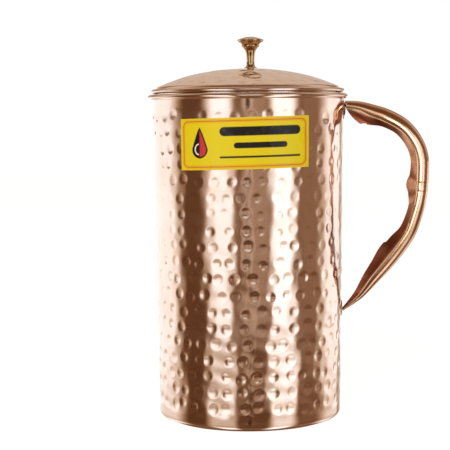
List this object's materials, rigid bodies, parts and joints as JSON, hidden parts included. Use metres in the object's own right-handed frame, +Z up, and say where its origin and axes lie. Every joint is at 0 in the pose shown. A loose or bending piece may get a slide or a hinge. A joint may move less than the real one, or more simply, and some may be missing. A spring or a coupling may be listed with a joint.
{
  "type": "copper water jug",
  "caption": "Tall hammered copper water jug with a rolled rim, a hollow rolled-sheet side handle and a shallow domed lift-off lid with a turned brass knob.",
  "frame": {"origin": "centre of the jug's underside, on the axis of the body", "axes": "+Z up along the axis of the body, +X towards the handle, -Y towards the label on the front"},
  "size_m": [0.1653, 0.117, 0.2226],
  "materials": {
    "hammered_copper": "polished hammered copper, lacquered",
    "lid_copper": "polished lightly hammered copper",
    "smooth_copper": "polished copper",
    "handle_copper": "polished copper with tool marks",
    "copper_wire": "drawn copper wire",
    "knob_brass": "turned and polished brass",
    "braze": "filed brazing alloy",
    "label_foil": "glossy printed foil label"
  },
  "bodies": {
    "jug": {"body_wall": "hammered_copper", "rim_wire": "copper_wire", "base_plate": "smooth_copper", "base_braze": "braze", "label": "label_foil", "handle_shell": "handle_copper", "handle_top_tab": "handle_copper", "handle_upper_braze": "braze", "handle_lower_braze": "braze"},
    "lid": {"lid_dome": "lid_copper", "lid_edge_wire": "copper_wire", "lid_collar": "smooth_copper", "knob": "knob_brass", "knob_washer": "knob_brass", "knob_nut": "knob_brass"}
  },
  "joints": [
    {"name": "lid_lift", "type": "slide", "parent": "jug", "child": "lid", "axis": [0, 0, 1], "range_m": [0, 0.06]}
  ]
}
